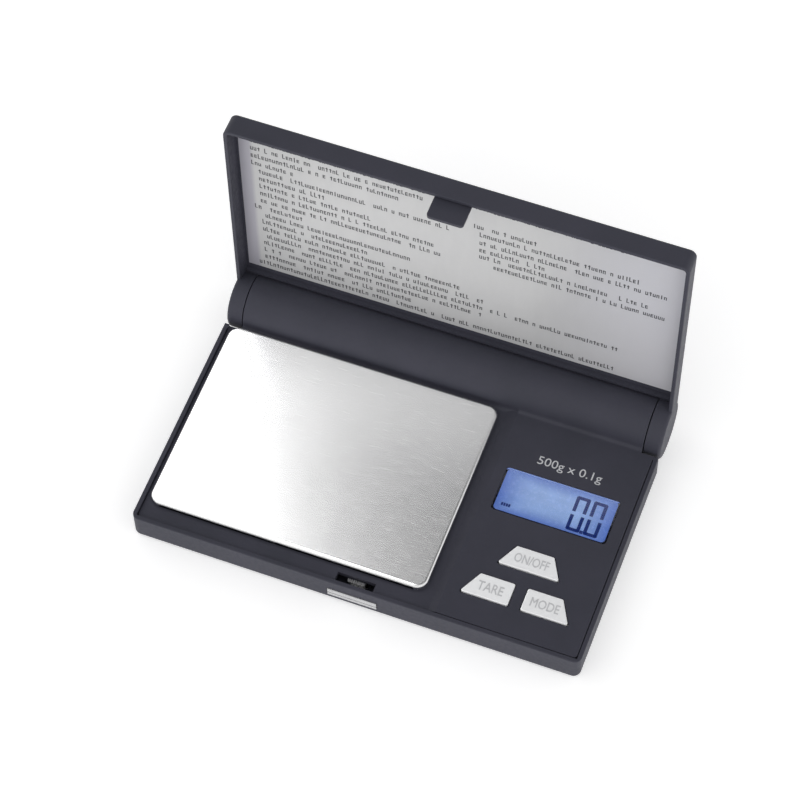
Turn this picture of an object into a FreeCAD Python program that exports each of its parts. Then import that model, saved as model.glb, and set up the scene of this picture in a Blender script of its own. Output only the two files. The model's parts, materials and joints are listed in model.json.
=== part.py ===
"""Fold-over digital gram scale: a shallow case with a steel weighing pan and a control panel, a battery
barrel along its back, and a lid that turns on the barrel's ends. Millimetres, +Z up, lid open.
It is drawn with y = 0 at the case's front face, and moved at the end to put the origin under its middle."""
import FreeCAD, Part
import math
import os

V = FreeCAD.Vector
X_AXIS = V(1, 0, 0)
Z_AXIS = V(0, 0, 1)

# ---- overall size -----------------------------------------------------------------------------------------
LENGTH = 132.0            # along the hinge
HINGE_Y = 78.65           # case front to hinge axis
CASE_HEIGHT = 8.87        # underside to rim
FOOT_PROUD = 0.8          # feet below the case
BARREL_R = 8.68           # battery barrel and lid ears, outside
EAR_WIDTH = 5.14          # lid ear, along the hinge
LID_DEPTH = 6.68          # lid rim to lid's outer face
OPEN_ANGLE = 90.5         # lid opening, closed to stop

# ---- walls and clearances ---------------------------------------------------------------------------------
RIM = 1.21                # case wall at the rim, as seen round the deck
WALL = 2.0                # case wall under the deck, which makes the deck's ledge
FLOOR = 1.5               # case floor
DECK = 1.6                # deck and panel thickness
RECESS = 0.9              # deck below the rim, round the pan
LID_WALL = 1.1            # lid side walls and skin
BARREL_WALL = 1.5
SEAM = 0.15               # gap between shells that butt together
GROOVE = 0.25             # deck's edge to the case wall
EAR_GAP = 0.3             # lid ear to the barrel's end
LID_GAP = 0.32            # closed lid's rim above the case's rim
BARREL_GAP = 0.2          # lid skin to barrel, all the way round
LID_LIP = (1.5, 1.0)      # rib along the lid's hinge edge: depth under the skin, thickness
NOTCH_GAP = 1.13          # case side wall to the front of the ear
CORNER_R = 2.2            # front corners in plan
CASE_EDGE_R = 0.8         # case's lower edge
LID_EDGE_R = 0.9          # lid's outer edge
RIM_EDGE_R = 0.3          # rims
EAR_EDGE_R = 1.0
COVE_R = 1.3              # soft corner between deck and barrel

# ---- panel: display window and keys -----------------------------------------------------------------------
PANEL_WIDTH = 40.64       # deck's right edge to the top of the slope
SLOPE_FRONT = 2.2         # width of the slope down to the deck, at the front
SLOPE_BACK = 3.4          # and at the barrel
CENTRE_FROM_RIGHT = 22.4  # window and key block centre, from the case's right face
WINDOW = (33.8, 14.5)     # along x, along y
WINDOW_Y = 37.25          # its front edge
WINDOW_ASIDE = 0.25       # its centre to the right of the keys' centre
WINDOW_R = 1.0
PANE_LOW = 0.2            # pane below the panel face
DISPLAY_DEEP = 1.6        # display frame below the panel face, in a pocket if the deck is thicker
KEY_PROUD = 0.5
KEY_GAP = 0.25
KEY_R = 0.5
KEY_EDGE_R = 0.25
KEY_LIP = 0.6             # lip that holds a key under the panel
KEY_LIP_T = 0.8
KEY_STEM_R = 1.4
KEY_TRAVEL = 0.4
LOWER_KEYS_Y = (9.85, 16.9)
UPPER_KEY_Y = (21.7, 28.4)
UPPER_KEY_HALF = (8.95, 5.4)      # half widths at the front and back edge
LOWER_KEY_INNER = 1.85            # inner edge, from the key block's centre
LOWER_KEY_OUTER = (15.65, 11.95)  # outer edge at the front and back

# ---- pan and load cell ------------------------------------------------------------------------------------
PAN_GAP_LEFT = 1.23       # deck's left edge to the pan
PAN_GAP_FRONT = 4.53      # deck's front edge to the pan
PAN_GAP_RIGHT = 1.35      # pan to the foot of the slope, at the barrel
PAN_GAP_BACK = 1.75       # pan to the barrel
PAN_PROUD = 1.52          # pan top above the rim
PAN_DROP = 1.7            # depth of the turned-down edge
PAN_SHEET = 0.6
PAN_R = 3.3
PAN_EDGE_R = 0.9
SUPPORT_T = 1.2
SUPPORT_INSET = 7.0       # pan edge to support edge
SUPPORT_WINDOW = (18.0, 12.0)
SUPPORT_WINDOW_AT = (14.0, 10.0)  # window centres from the support's edges
SUPPORT_FOOT = 9.0        # foot on the load cell's free end
CELL = (45.0, 9.0, 5.0)
CELL_PAD = (10.0, 0.4)    # length of each clamped end, height of the pad under the fixed one
CELL_HOLE_R = 1.9         # the two bores that make its thin flexures
CELL_HOLE_PITCH = 9.0
CELL_SLIT = 1.2           # slit between the bores
GAUGE_COVER = (14.0, 7.0) # sealant over the strain gauges
GAUGE_COVER_T = (0.25, 0.7)  # under and over the load cell
CELL_ROOM = 2.0           # deck opening round the cell
SCREW_PITCH = 4.6         # the two screws in each end

# ---- board and display ------------------------------------------------------------------------------------
BOARD_T = 1.0
BOARD_Z = 2.7             # board's lower face above the case's underside
BOARD_GAP = 0.6           # board to case wall
BOARD_FRONT = 7.6
BOARD_BACK_GAP = 8.0      # board to barrel
BOARD_SLOPE_GAP = 2.6     # board to the slope's foot
BOARD_SCREW_INSET = (2.6, 2.8)  # from the board's sides and back
BOARD_SCREW_AHEAD = 2.7   # front pair, behind the upper key
FRAME_RIM = 2.6           # display frame beyond the window
GLASS_RIM = 1.6           # display glass beyond the window
GLASS_SEAT = 0.4          # width of the frame's step under the glass
GLASS_T = 1.6
BACKLIGHT_T = 1.6
ZEBRA_W = 1.4
ZEBRA_INSET = 0.6         # glass edge to zebra strip
SWITCH = (4.5, 1.5)       # side, height
PLUNGER_R = 1.0
PLUNGER_PROUD = 0.5
PLUNGER_SUNK = 0.6
CHIP_DOME = (8.0, 0.8)    # resin drop's radius and depth

# ---- fixings ----------------------------------------------------------------------------------------------
SCREW_R = 1.0
HEAD_R = 1.9
HEAD_T = 1.1
CROSS = (2.2, 0.45, 0.4)  # recess length, width, depth
HOLE_SLACK = 0.15         # shank in a clearance hole, radial
HEAD_SLACK = 0.2          # head in its counterbore, radial
HEAD_SUNK = 0.1           # case screw heads below the underside
THREAD_FIT = 0.02         # shank in the post that it threads into, radial
POST_DEPTH = 0.4          # hole past the screw's end
CASE_SCREW = 5.4          # screw lengths, head included
BOARD_SCREW = 4.0
FIXED_CELL_SCREW = 5.6
FREE_CELL_SCREW = 7.2
POST_R = 2.2
BOARD_POST_R = 1.9
BOSS_UP = 1.0             # case boss above the floor, which meets the deck's post
FIT = 0.05                # running clearance, radial
SCREW_INSET = (5.5, 4.8)  # case screws from the side and front faces
MID_SCREW_FROM_RIGHT = 52.0
BACK_SCREW_GAP = 5.6      # rear case screws ahead of the barrel
FOOT_R = 4.0
FOOT_SUNK = 0.6
FOOT_INSET = 12.5
PIN_R = 1.5
PIN_IN_EAR = 3.6
BOSS = 4.0                # barrel end boss, along the hinge
STOP_R = 1.0              # stop lug in its arc groove
STOP_AT = 4.6             # lug's distance from the axis
STOP_DEEP = 1.5
STOP_SLACK = 0.2
STOP_ANGLE = 20.0         # lug above the horizontal, towards the front, with the lid closed

# ---- batteries --------------------------------------------------------------------------------------------
CELL_AAA = (5.25, 44.5)   # radius, length over the nub
NUB = (1.9, 0.8)
CAN_EDGE_R = 0.3
SPRING_ROOM = 6.8         # coil spring, squeezed
PLATE_T = 0.3
BULKHEAD = 1.2
PLATE_SIDE = 9.0
DOOR_WALL = 1.4
DOOR_FLAT = 7.0           # door's flat part ahead of the hinge axis
DOOR_TRAVEL = 3.0
TONGUE = (8.0, 2.5, 0.75)  # width, reach under the floor, thickness
TONGUE_X = 30.0
TONGUE_SLACK = 0.2
TONGUE_ROOT = 0.65        # tongue's hold behind the door's front edge
TONGUE_NECK = (0.15, 0.65, 0.4)  # neck's front and back behind that edge, foot above the underside
GRIP = (9.0, 0.6, 0.3)    # finger grooves in the door: half length, width, depth
GRIP_PITCH = 1.3
GRIP_FROM = 1.4           # first groove behind the door's front edge
GRIPS = 4
SPRING_WIRE_R = 0.3
SPRING_R = 2.9
SPRING_TURNS = 5
TAB = (2.68, 1.3)         # contact tab above the floor, its height
TAB_SLACK = 0.2
LEAD_R = 0.55
CABLE_R = 0.8

# ---- latch ------------------------------------------------------------------------------------------------
BUTTON_HALF = 7.25
BUTTON_Z = (2.2, 5.06)    # above the case's underside
BUTTON_PROUD = 0.4
BUTTON_T = 0.85
BUTTON_WING = 1.2         # retaining wings beyond the opening
BUTTON_WING_T = 0.7
BUTTON_SLACK = 0.2        # button in its opening
BUTTON_EDGE_R = 0.3
BUTTON_GROOVE = (0.3, 0.15)  # height, depth of the line along its face
BUTTON_ROOM = 0.4         # wing to the end of its pocket
PUSHER = (2.0, 0.5)       # half width, thickness
HOOK_HALF = 5.2
HOOK_GAP = 0.65           # lid front wall to hook
HOOK_T = 1.0
HOOK_REACH = 6.3          # past the lid's rim
BARB = (2.4, 0.6, 1.2)    # half width, depth, height
SLOT_HALF = 5.6
SLOT_DEEP = 2.85          # slot, front to back
LEAF_T = 0.3
LEAF_HALF = 2.5
LEAF_FOOT = 6.5
LEAF_GAP = 0.35           # barb to the leaf's upright
NOSE_UP = 3.6             # nose above the hook's tip
NOSE_GAP = 0.2            # nose to the hook's plate, and to its barb
NOSE_R = 0.5
STAKE = (0.9, 0.5)        # stake that holds the leaf's foot: radius, height above it
STAKE_BACK = 4.2          # stake behind the upright
LABEL_T = 0.15
LABEL_GAP = 0.7           # label to lid wall
LABEL_HOOK_GAP = 0.3      # label to hook
LABEL_LIP_GAP = 1.9       # label to the rib along the hinge edge

# ---- places worked out from the sizes ---------------------------------------------------------------------
HALF = LENGTH / 2
BASE_Z = FOOT_PROUD
RIM_Z = BASE_Z + CASE_HEIGHT
FLOOR_Z = BASE_Z + FLOOR
AXIS_Z = BASE_Z + BARREL_R
BARREL_HALF = HALF - EAR_WIDTH
PIN_END = BARREL_HALF + EAR_GAP + PIN_IN_EAR
BARREL_IN = BARREL_R - BARREL_WALL
BARREL_FRONT = HINGE_Y - BARREL_R
NOTCH_Y = BARREL_FRONT - NOTCH_GAP
LEDGE_Z = RIM_Z - DECK
DISPLAY_Z = RIM_Z - DISPLAY_DEEP
DECK_Z = RIM_Z - RECESS
DECK_LOW = DECK_Z - DECK
DECK_HALF = HALF - RIM - GROOVE
DECK_FRONT = RIM + GROOVE
SLOPE_TOP_X = DECK_HALF - PANEL_WIDTH
CENTRE_X = HALF - CENTRE_FROM_RIGHT
WINDOW_CX = CENTRE_X + WINDOW_ASIDE
LID_RIM_Z = RIM_Z + LID_GAP
LID_TOP_Z = LID_RIM_Z + LID_DEPTH
PAN_X = (-DECK_HALF + PAN_GAP_LEFT, SLOPE_TOP_X - SLOPE_BACK - PAN_GAP_RIGHT)
PAN_Y = (DECK_FRONT + PAN_GAP_FRONT, BARREL_FRONT - PAN_GAP_BACK)
PAN_Z = RIM_Z + PAN_PROUD
PAN_CX = (PAN_X[0] + PAN_X[1]) / 2
PAN_CY = (PAN_Y[0] + PAN_Y[1]) / 2
SUPPORT_Z = PAN_Z - PAN_SHEET - SUPPORT_T
CELL_Z = FLOOR_Z + CELL_PAD[1]
CELL_TOP = CELL_Z + CELL[2]
FIXED_X = PAN_CX + CELL[0] / 2 - CELL_PAD[0] / 2
FREE_X = PAN_CX - CELL[0] / 2 + CELL_PAD[0] / 2
BOARD_TOP = BASE_Z + BOARD_Z + BOARD_T
BOARD_X = (SLOPE_TOP_X - SLOPE_BACK + BOARD_SLOPE_GAP, HALF - WALL - BOARD_GAP)
BOARD_Y = (BOARD_FRONT, BARREL_FRONT - BOARD_BACK_GAP)
WINDOW_CY = WINDOW_Y + WINDOW[1] / 2
BAY_HALF = (2 * CELL_AAA[1] + 2 * PLATE_T + SPRING_ROOM) / 2
DOOR_HALF = BAY_HALF - SEAM
DOOR_FRONT = HINGE_Y - DOOR_FLAT
BUTTON_LOW = BASE_Z + BUTTON_Z[0]
BUTTON_TOP = BASE_Z + BUTTON_Z[1]
HOOK_Y = LID_WALL + HOOK_GAP
HOOK_TIP = LID_RIM_Z - HOOK_REACH
LEAF_Y = HOOK_Y + HOOK_T + BARB[1] + LEAF_GAP
NOSE_Z = HOOK_TIP + NOSE_UP
SLOT_BACK = DECK_FRONT + SLOT_DEEP
STAKE_Y = LEAF_Y + STAKE_BACK
BOARD_LOW = BOARD_TOP - BOARD_T
DEPTH = HINGE_Y + BARREL_R + BUTTON_PROUD
MIDDLE_Y = DEPTH / 2 - BUTTON_PROUD


# ---- plain shapes -----------------------------------------------------------------------------------------
def box(x, y, z):
    """A block between pairs of limits."""
    return Part.makeBox(x[1] - x[0], y[1] - y[0], z[1] - z[0], V(x[0], y[0], z[0]))


def block(cx, cy, side_x, side_y, z):
    return box((cx - side_x / 2, cx + side_x / 2), (cy - side_y / 2, cy + side_y / 2), z)


def post(radius, z, x, y):
    return Part.makeCylinder(radius, z[1] - z[0], V(x, y, z[0]), Z_AXIS)


def bar(radius, x, y=HINGE_Y, z=AXIS_Z):
    """A cylinder along the hinge's direction, on the hinge axis unless told otherwise."""
    return Part.makeCylinder(radius, x[1] - x[0], V(x[0], y, z), X_AXIS)


def prism(points, along):
    return Part.Face(Part.makePolygon(points + points[:1])).extrude(along)


def lengthwise(points, x):
    """A prism along the hinge, on an outline of (y, z) points."""
    return prism([V(x[0], y, z) for y, z in points], V(x[1] - x[0], 0, 0))


def round_uprights(shape, radius, keep=lambda x, y: True):
    """Rounds the vertical edges whose (x, y) passes the test."""
    edges = []
    for e in shape.Edges:
        a, b = e.Vertexes[0].Point, e.Vertexes[-1].Point
        if abs(a.x - b.x) + abs(a.y - b.y) < 1e-6 and abs(a.z - b.z) > 1e-6 and keep(a.x, a.y):
            edges.append(e)
    return shape.makeFillet(radius, edges)


def round_level(shape, radius, z, keep=lambda point: True):
    """Rounds the edges that lie at height z."""
    edges = []
    for e in shape.Edges:
        level = all(abs(v.Point.z - z) < 1e-6 for v in e.Vertexes)
        if level and abs(e.CenterOfMass.z - z) < 1e-6 and keep(e.CenterOfMass):
            edges.append(e)
    return shape.makeFillet(radius, edges)


def mirrored(shape):
    """The same piece at the other end of the hinge."""
    return shape.mirror(V(0, 0, 0), X_AXIS)


def both_ends(shape):
    return [shape, mirrored(shape)]


def opened(shape):
    """Turns a lid piece from closed to open about the hinge axis."""
    turned = shape.copy()
    turned.rotate(V(0, HINGE_Y, AXIS_Z), X_AXIS, -OPEN_ANGLE)
    return turned


def wire_path(points, bend):
    """Straight runs joined by tangent arcs, each as large as its runs allow."""
    edges, start = [], points[0]
    for before, corner, after in zip(points, points[1:], points[2:]):
        a, b = (before - corner), (after - corner)
        turn = math.pi - a.getAngle(b)
        cut = bend * min(a.Length, b.Length)
        a.normalize()
        b.normalize()
        radius = cut / math.tan(turn / 2)
        enter, leave = corner + a * cut, corner + b * cut
        middle = a + b
        middle.normalize()
        deep = math.hypot(radius, cut) - radius
        edges.append(Part.LineSegment(start, enter).toShape())
        edges.append(Part.Arc(enter, corner + middle * deep, leave).toShape())
        start = leave
    edges.append(Part.LineSegment(start, points[-1]).toShape())
    return Part.Wire(edges)


def tube(points, radius, bend=0.45):
    path = wire_path(points, bend)
    first = points[1] - points[0]
    ring = Part.Wire(Part.makeCircle(radius, points[0], first))
    return path.makePipeShell([ring], True, False)


# ---- case shells ------------------------------------------------------------------------------------------
def case_screw_places():
    side = HALF - SCREW_INSET[0]
    back = BARREL_FRONT - BACK_SCREW_GAP
    middle = HALF - MID_SCREW_FROM_RIGHT
    return [(x, y) for x in (-side, middle, side) for y in (SCREW_INSET[1], back)]


def board_screw_places():
    aside, back = BOARD_SCREW_INSET
    xs = (BOARD_X[0] + aside, BOARD_X[1] - aside)
    return [(x, y) for x in xs for y in (UPPER_KEY_Y[1] + BOARD_SCREW_AHEAD, BOARD_Y[1] - back)]


def cell_screw_places(cx):
    return [(cx, PAN_CY - SCREW_PITCH / 2), (cx, PAN_CY + SCREW_PITCH / 2)]


def foot_places():
    xs = (-HALF + FOOT_INSET, HALF - FOOT_INSET)
    return [(x, y) for x in xs for y in (FOOT_INSET, NOTCH_Y - FOOT_INSET)]


def bay_front_wall():
    """The curved wall between the batteries and the electronics."""
    x = (-BARREL_HALF + WALL, BARREL_HALF - WALL)
    front = box(x, (BARREL_FRONT, HINGE_Y), (BASE_Z, DECK_LOW - SEAM))
    return bar(BARREL_R, x).common(front)


def door_outline(grow, top):
    """Door section: flat ahead of the hinge axis, then round the barrel's back."""
    low = BASE_Z - grow
    front = DOOR_FRONT - grow
    outer, inner = BARREL_R + grow, BARREL_R - DOOR_WALL - grow
    inner_low = AXIS_Z - inner
    angle = math.asin((AXIS_Z - top) / outer)
    inner_angle = math.asin((AXIS_Z - top) / inner)

    def at(radius, a):
        return V(0, HINGE_Y + radius * math.cos(a), AXIS_Z - radius * math.sin(a))

    half = (math.pi / 2 + angle) / 2
    inner_half = (math.pi / 2 + inner_angle) / 2
    start = V(0, front, low)
    bottom, inner_bottom = V(0, HINGE_Y, AXIS_Z - outer), V(0, HINGE_Y, inner_low)
    tip, inner_tip = at(outer, angle), at(inner, inner_angle)
    back = V(0, front, inner_low)
    edges = [
        Part.LineSegment(start, bottom),
        Part.Arc(bottom, at(outer, half), tip),
        Part.LineSegment(tip, inner_tip),
        Part.Arc(inner_tip, at(inner, inner_half), inner_bottom),
        Part.LineSegment(inner_bottom, back),
        Part.LineSegment(back, start),
    ]
    return Part.Face(Part.Wire([e.toShape() for e in edges]))


def door_block(half, grow, top):
    face = door_outline(grow, top)
    face.translate(V(-half, 0, 0))
    return face.extrude(V(2 * half, 0, 0))


def tongue(x, slack=0.0, travel=0.0):
    """A tongue on the door's front edge that holds it to the inside of the floor."""
    width, reach, thick = TONGUE
    low = FLOOR_Z + FIT - slack
    return box(
        (x - width / 2 - slack, x + width / 2 + slack),
        (DOOR_FRONT - reach - slack, DOOR_FRONT + TONGUE_ROOT + travel + slack),
        (low, FLOOR_Z + FIT + thick + slack),
    )


def lower_bulkhead():
    """Lower half of the disc that closes one end of the battery bay, clear of the deck's front curtain."""
    x = (BAY_HALF, BAY_HALF + BULKHEAD)
    top = AXIS_Z - SEAM
    free = bar(BARREL_IN - SEAM, x).common(box(x, (BARREL_FRONT, HINGE_Y), (BASE_Z, top)))
    joined = bar(BARREL_IN + FIT, x)
    front = joined.common(box(x, (BARREL_FRONT, HINGE_Y), (BASE_Z, DECK_LOW - SEAM)))
    back = joined.common(box(x, (HINGE_Y, HINGE_Y + BARREL_R), (BASE_Z, top)))
    return free.fuse([front, back])


def bottom_case():
    body = box((-HALF, HALF), (0, NOTCH_Y), (BASE_Z, RIM_Z))
    body = round_uprights(body, CORNER_R, lambda x, y: y < 1)
    body = round_level(body, CASE_EDGE_R, BASE_Z, lambda p: p.y < NOTCH_Y - 1e-3)
    body = round_level(body, RIM_EDGE_R, RIM_Z, lambda p: p.y < NOTCH_Y - 1e-3)
    barrel_x = (-BARREL_HALF, BARREL_HALF)
    split = AXIS_Z - SEAM / 2
    under = box(barrel_x, (NOTCH_Y - CORNER_R, HINGE_Y), (BASE_Z, DECK_LOW - SEAM))
    lower = bar(BARREL_R, barrel_x).common(box(barrel_x, (HINGE_Y, HINGE_Y + BARREL_R), (BASE_Z, split)))
    body = body.fuse([under, lower])
    inside_x = (-BARREL_HALF + WALL, BARREL_HALF - WALL)
    body = body.cut([
        box((-HALF + WALL, HALF - WALL), (WALL, NOTCH_Y - WALL), (FLOOR_Z, RIM_Z)),
        box((-HALF + RIM, HALF - RIM), (RIM, NOTCH_Y - RIM), (DECK_LOW, RIM_Z)),
        box(inside_x, (NOTCH_Y - WALL - 1, HINGE_Y), (FLOOR_Z, RIM_Z)),
        box((-DECK_HALF, DECK_HALF), (NOTCH_Y - RIM - 1, NOTCH_Y + 1), (DECK_LOW - SEAM, RIM_Z + 1)),
    ])
    body = body.fuse(bay_front_wall())
    body = body.cut(bar(BARREL_IN, barrel_x))
    walls = both_ends(lower_bulkhead())
    bosses = [post(POST_R, (FLOOR_Z - FIT, FLOOR_Z + BOSS_UP), x, y) for x, y in case_screw_places()]
    pad = block(FIXED_X, PAN_CY, CELL_PAD[0], CELL[1], (FLOOR_Z - FIT, CELL_Z))
    stake = post(STAKE[0], (FLOOR_Z - FIT, FLOOR_Z + LEAF_T + STAKE[1]), 0, STAKE_Y)
    body = body.fuse(walls + bosses + [pad, stake])
    cuts = [door_block(DOOR_HALF + SEAM, SEAM, AXIS_Z - SEAM)]
    cuts += [tongue(x, TONGUE_SLACK, DOOR_TRAVEL) for x in (-TONGUE_X, TONGUE_X)]
    cuts += [shape for x, y in case_screw_places() for shape in (
        post(SCREW_R + HOLE_SLACK, (BASE_Z, FLOOR_Z + 2 * BOSS_UP), x, y),
        post(HEAD_R + HEAD_SLACK, (BASE_Z, BASE_Z + HEAD_T + HEAD_SUNK), x, y))]
    cuts += [shape for x, y in cell_screw_places(FIXED_X) for shape in (
        post(SCREW_R + HOLE_SLACK, (BASE_Z, CELL_Z + 1), x, y),
        post(HEAD_R + HEAD_SLACK, (BASE_Z, BASE_Z + HEAD_T), x, y))]
    cuts += [post(FOOT_R + FIT, (BASE_Z, BASE_Z + FOOT_SUNK), x, y) for x, y in foot_places()]
    reach = BUTTON_HALF + BUTTON_WING + BUTTON_ROOM
    cuts.append(box((-reach, reach), (RIM, WALL + 1), (FLOOR_Z, DECK_LOW)))
    half = BUTTON_HALF + BUTTON_SLACK
    cuts.append(box((-half, half), (-1, WALL), (BUTTON_LOW - BUTTON_SLACK, BUTTON_TOP + BUTTON_SLACK)))
    cuts += [tab_slot(side) for side in (-1, 1)]
    return body.cut(cuts).removeSplitter()


def plate_section(y, slope):
    """Deck section across the hinge direction: recess on the left, slope, raised panel on the right."""
    foot = SLOPE_TOP_X - slope
    points = [
        (-DECK_HALF, DECK_Z), (foot, DECK_Z), (SLOPE_TOP_X, RIM_Z), (DECK_HALF, RIM_Z),
        (DECK_HALF, LEDGE_Z), (SLOPE_TOP_X, LEDGE_Z), (foot, DECK_LOW), (-DECK_HALF, DECK_LOW),
    ]
    return Part.makePolygon([V(x, y, z) for x, z in points + points[:1]])


def deck_plate():
    ends = [plate_section(DECK_FRONT, SLOPE_FRONT), plate_section(BARREL_FRONT + BARREL_WALL, SLOPE_BACK)]
    plate = Part.makeLoft(ends, True, True)
    back = BARREL_FRONT + BARREL_WALL + 1
    for side in both_ends(box((BARREL_HALF, HALF), (NOTCH_Y, back), (0, RIM_Z + 1))):
        plate = plate.cut(side)
    return round_uprights(plate, CORNER_R - RIM, lambda x, y: y < DECK_FRONT + 1e-3)


def cove(height, x):
    """A concave corner strip between a level face and the barrel."""
    rise = height + COVE_R - AXIS_Z
    away = math.sqrt((BARREL_R + COVE_R) ** 2 - rise ** 2)
    centre = V(x[0], HINGE_Y - away, height + COVE_R)
    to_axis = V(0, away, -rise)
    to_axis.normalize()
    on_level = V(x[0], centre.y, height)
    on_barrel = centre + to_axis * COVE_R
    halfway = V(0, to_axis.y, to_axis.z - 1)
    halfway.normalize()
    inside = V(x[0], on_barrel.y + BARREL_WALL / 2, height - DECK / 2)
    edges = [
        Part.Arc(on_level, centre + halfway * COVE_R, on_barrel),
        Part.LineSegment(on_barrel, inside),
        Part.LineSegment(inside, V(x[0], centre.y, height - DECK / 2)),
        Part.LineSegment(V(x[0], centre.y, height - DECK / 2), on_level),
    ]
    face = Part.Face(Part.Wire([e.toShape() for e in edges]))
    return face.extrude(V(x[1] - x[0], 0, 0))


def barrel_top():
    """Upper half of the battery barrel, with the round bosses that carry the hinge pins."""
    x = (-BARREL_HALF, BARREL_HALF)
    back = box(x, (HINGE_Y, HINGE_Y + BARREL_R), (AXIS_Z + SEAM / 2, AXIS_Z + BARREL_R))
    front = box(x, (BARREL_FRONT, HINGE_Y), (DECK_LOW, AXIS_Z + BARREL_R))
    shell = bar(BARREL_R, x).cut(bar(BARREL_IN, x)).common(back.fuse(front))
    upper = box((0, HALF), (BARREL_FRONT, HINGE_Y + BARREL_R), (AXIS_Z, AXIS_Z + BARREL_R))
    bulk = bar(BARREL_IN + FIT, (BAY_HALF, BAY_HALF + BULKHEAD)).common(upper)
    boss_x = (BARREL_HALF - BOSS, BARREL_HALF)
    boss = bar(BARREL_IN - SEAM, boss_x).fuse(bar(BARREL_IN + FIT, boss_x).common(upper))
    return shell.fuse([part for piece in (bulk, boss) for part in both_ends(piece)])


def hinge_cuts():
    """Pin bore and the arc groove in which the lid's stop lug runs."""
    bore = bar(PIN_R + FIT, (BARREL_HALF - BOSS - 1, BARREL_HALF + 1))
    groove_x = (BARREL_HALF - STOP_DEEP - SEAM, BARREL_HALF + 1)
    width = STOP_R + STOP_SLACK
    ring = bar(STOP_AT + width, groove_x).cut(bar(STOP_AT - width, groove_x))
    ends = [math.radians(STOP_ANGLE), math.radians(STOP_ANGLE + OPEN_ANGLE)]
    far = 3 * BARREL_R
    middle = sum(ends) / 2
    fan = [(HINGE_Y, AXIS_Z)]
    fan += [(HINGE_Y - far * math.cos(a), AXIS_Z + far * math.sin(a)) for a in (ends[0], middle, ends[1])]
    sweep = ring.common(lengthwise(fan, groove_x))
    round_ends = [bar(width, groove_x, *stop_place(a)) for a in ends]
    return both_ends(bore.fuse([sweep] + round_ends))


def stop_place(angle):
    return HINGE_Y - STOP_AT * math.cos(angle), AXIS_Z + STOP_AT * math.sin(angle)


def top_deck():
    x_panel = (SLOPE_TOP_X, BARREL_HALF)
    shell = deck_plate().fuse([barrel_top(), cove(DECK_Z, (-BARREL_HALF, SLOPE_TOP_X)), cove(RIM_Z, x_panel)])
    posts = [post(POST_R, (FLOOR_Z + BOSS_UP + FIT, LEDGE_Z if x > SLOPE_TOP_X else DECK_LOW), x, y)
             for x, y in case_screw_places()]
    posts += [post(BOARD_POST_R, (BOARD_TOP, LEDGE_Z), x, y) for x, y in board_screw_places()]
    shell = shell.fuse(posts)
    thread = SCREW_R + THREAD_FIT
    deep, board_deep = BASE_Z + CASE_SCREW + POST_DEPTH, BOARD_LOW + BOARD_SCREW - HEAD_T + POST_DEPTH
    cuts = [post(thread, (FLOOR_Z, deep), x, y) for x, y in case_screw_places()]
    cuts += [post(thread, (BOARD_LOW, board_deep), x, y) for x, y in board_screw_places()]
    window = block(WINDOW_CX, WINDOW_CY, WINDOW[0], WINDOW[1], (LEDGE_Z - 1, RIM_Z + 1))
    cuts += [round_uprights(window, WINDOW_R), framed(FRAME_RIM + SEAM, (BOARD_TOP, DISPLAY_Z))]
    cuts += [key_block(name, KEY_GAP, (LEDGE_Z - 1, RIM_Z + 1), KEY_R) for name in KEYS]
    cuts.append(box((-SLOT_HALF, SLOT_HALF), (DECK_FRONT - 1, SLOT_BACK), (DECK_LOW - 1, DECK_Z + 1)))
    room = [side + 2 * CELL_ROOM for side in CELL[:2]]
    cuts.append(block(PAN_CX, PAN_CY, *room, (DECK_LOW - 1, DECK_Z + 1)))
    return shell.cut(cuts + hinge_cuts()).removeSplitter()


def battery_door():
    door = door_block(DOOR_HALF, 0, AXIS_Z - 2 * SEAM)
    door = door.fuse([tongue(x) for x in (-TONGUE_X, TONGUE_X)])
    near, far, up = TONGUE_NECK
    necks = [box((x - TONGUE[0] / 2, x + TONGUE[0] / 2), (DOOR_FRONT + near, DOOR_FRONT + far),
                 (BASE_Z + up, FLOOR_Z + FIT + TONGUE[2] / 2)) for x in (-TONGUE_X, TONGUE_X)]
    half, wide, deep = GRIP
    rows = [DOOR_FRONT + GRIP_FROM + GRIP_PITCH * n for n in range(GRIPS)]
    grips = [box((-half, half), (y, y + wide), (BASE_Z - 1, BASE_Z + deep)) for y in rows]
    return door.fuse(necks).cut(grips).removeSplitter()


# ---- lid --------------------------------------------------------------------------------------------------
def ear():
    disc = bar(BARREL_R, (BARREL_HALF + EAR_GAP, HALF))
    rim_edges = [e for e in disc.Edges if e.Length > BARREL_R and abs(e.CenterOfMass.x - HALF) < 1e-6]
    return disc.makeFillet(EAR_EDGE_R, rim_edges)


def hook():
    """A plate inside the lid's front wall, with a barb near its tip that snaps under the latch spring."""
    back = HOOK_Y + HOOK_T
    plate = box((-HOOK_HALF, HOOK_HALF), (HOOK_Y, back), (HOOK_TIP, LID_TOP_Z - LID_WALL + FIT))
    corners = [e for e in plate.Edges if abs(e.CenterOfMass.z - HOOK_TIP) < 1e-6
               and abs(abs(e.CenterOfMass.x) - HOOK_HALF) < 1e-6]
    plate = plate.makeFillet(HOOK_T, corners)
    half, deep, tall = BARB
    top = NOSE_Z - NOSE_GAP
    barb = lengthwise([(back - FIT, top), (back + deep, top), (back - FIT, top - tall)], (-half, half))
    return plate.fuse(barb)


def lip_place():
    """Front face and lower edge of the rib along the lid's hinge edge."""
    deep, thick = LID_LIP
    low = LID_TOP_Z - LID_WALL - deep
    back = HINGE_Y - math.sqrt((BARREL_R + BARREL_GAP) ** 2 - (low - AXIS_Z) ** 2)
    return back - thick, low


def hinge_lip():
    """Rib along the lid's hinge edge, which stiffens it and keeps light out of the gap over the barrel."""
    y, low = lip_place()
    inner = HALF - LID_WALL + FIT
    return box((-inner, inner), (y, HINGE_Y), (low, LID_TOP_Z - LID_WALL + FIT))


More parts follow.
